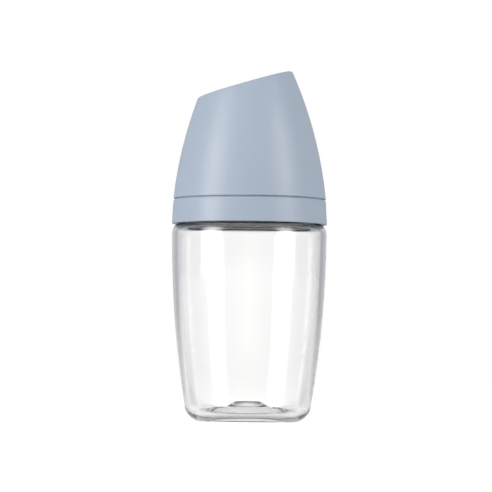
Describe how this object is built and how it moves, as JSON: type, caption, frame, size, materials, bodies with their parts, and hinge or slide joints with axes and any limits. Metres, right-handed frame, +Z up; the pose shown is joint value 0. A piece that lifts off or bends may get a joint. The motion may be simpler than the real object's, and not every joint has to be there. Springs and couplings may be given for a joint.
{
  "type": "baby bottle",
  "caption": "Wide-neck baby bottle: clear tapered body on a foot ring, screw collar, soft teat, and a press-on hood with a slanted roof.",
  "frame": {"origin": "middle of the foot ring's plane, on the bottle's axis", "axes": "+Z up along the bottle's axis, +X towards the high side of the hood's roof, -Y towards the pictured side"},
  "size_m": [0.072, 0.072, 0.1625],
  "materials": {
    "clear_plastic": "clear, polished",
    "blue_plastic": "satin, fine moulded skin",
    "silicone": "soft, milky translucent"
  },
  "bodies": {
    "bottle": {"bottle_body": "clear_plastic"},
    "teat": {"teat": "silicone"},
    "collar": {"collar": "blue_plastic"},
    "hood": {"hood": "blue_plastic"}
  },
  "joints": [
    {"name": "cap_rise", "type": "slide", "parent": "bottle", "child": "teat", "axis": [0, 0, 1], "range_m": [0, 0.006]},
    {"name": "collar_turn", "type": "hinge", "parent": "teat", "child": "collar", "pos_m": [0, 0, 0.1], "axis": [0, 0, 1], "range_deg": [0, 450]},
    {"name": "hood_lift", "type": "slide", "parent": "collar", "child": "hood", "axis": [0, 0, 1], "range_m": [0, 0.055]}
  ],
  "couplings": [
    {"joint": "cap_rise", "follows": "collar_turn", "m_per_rad": 0.00076394}
  ]
}
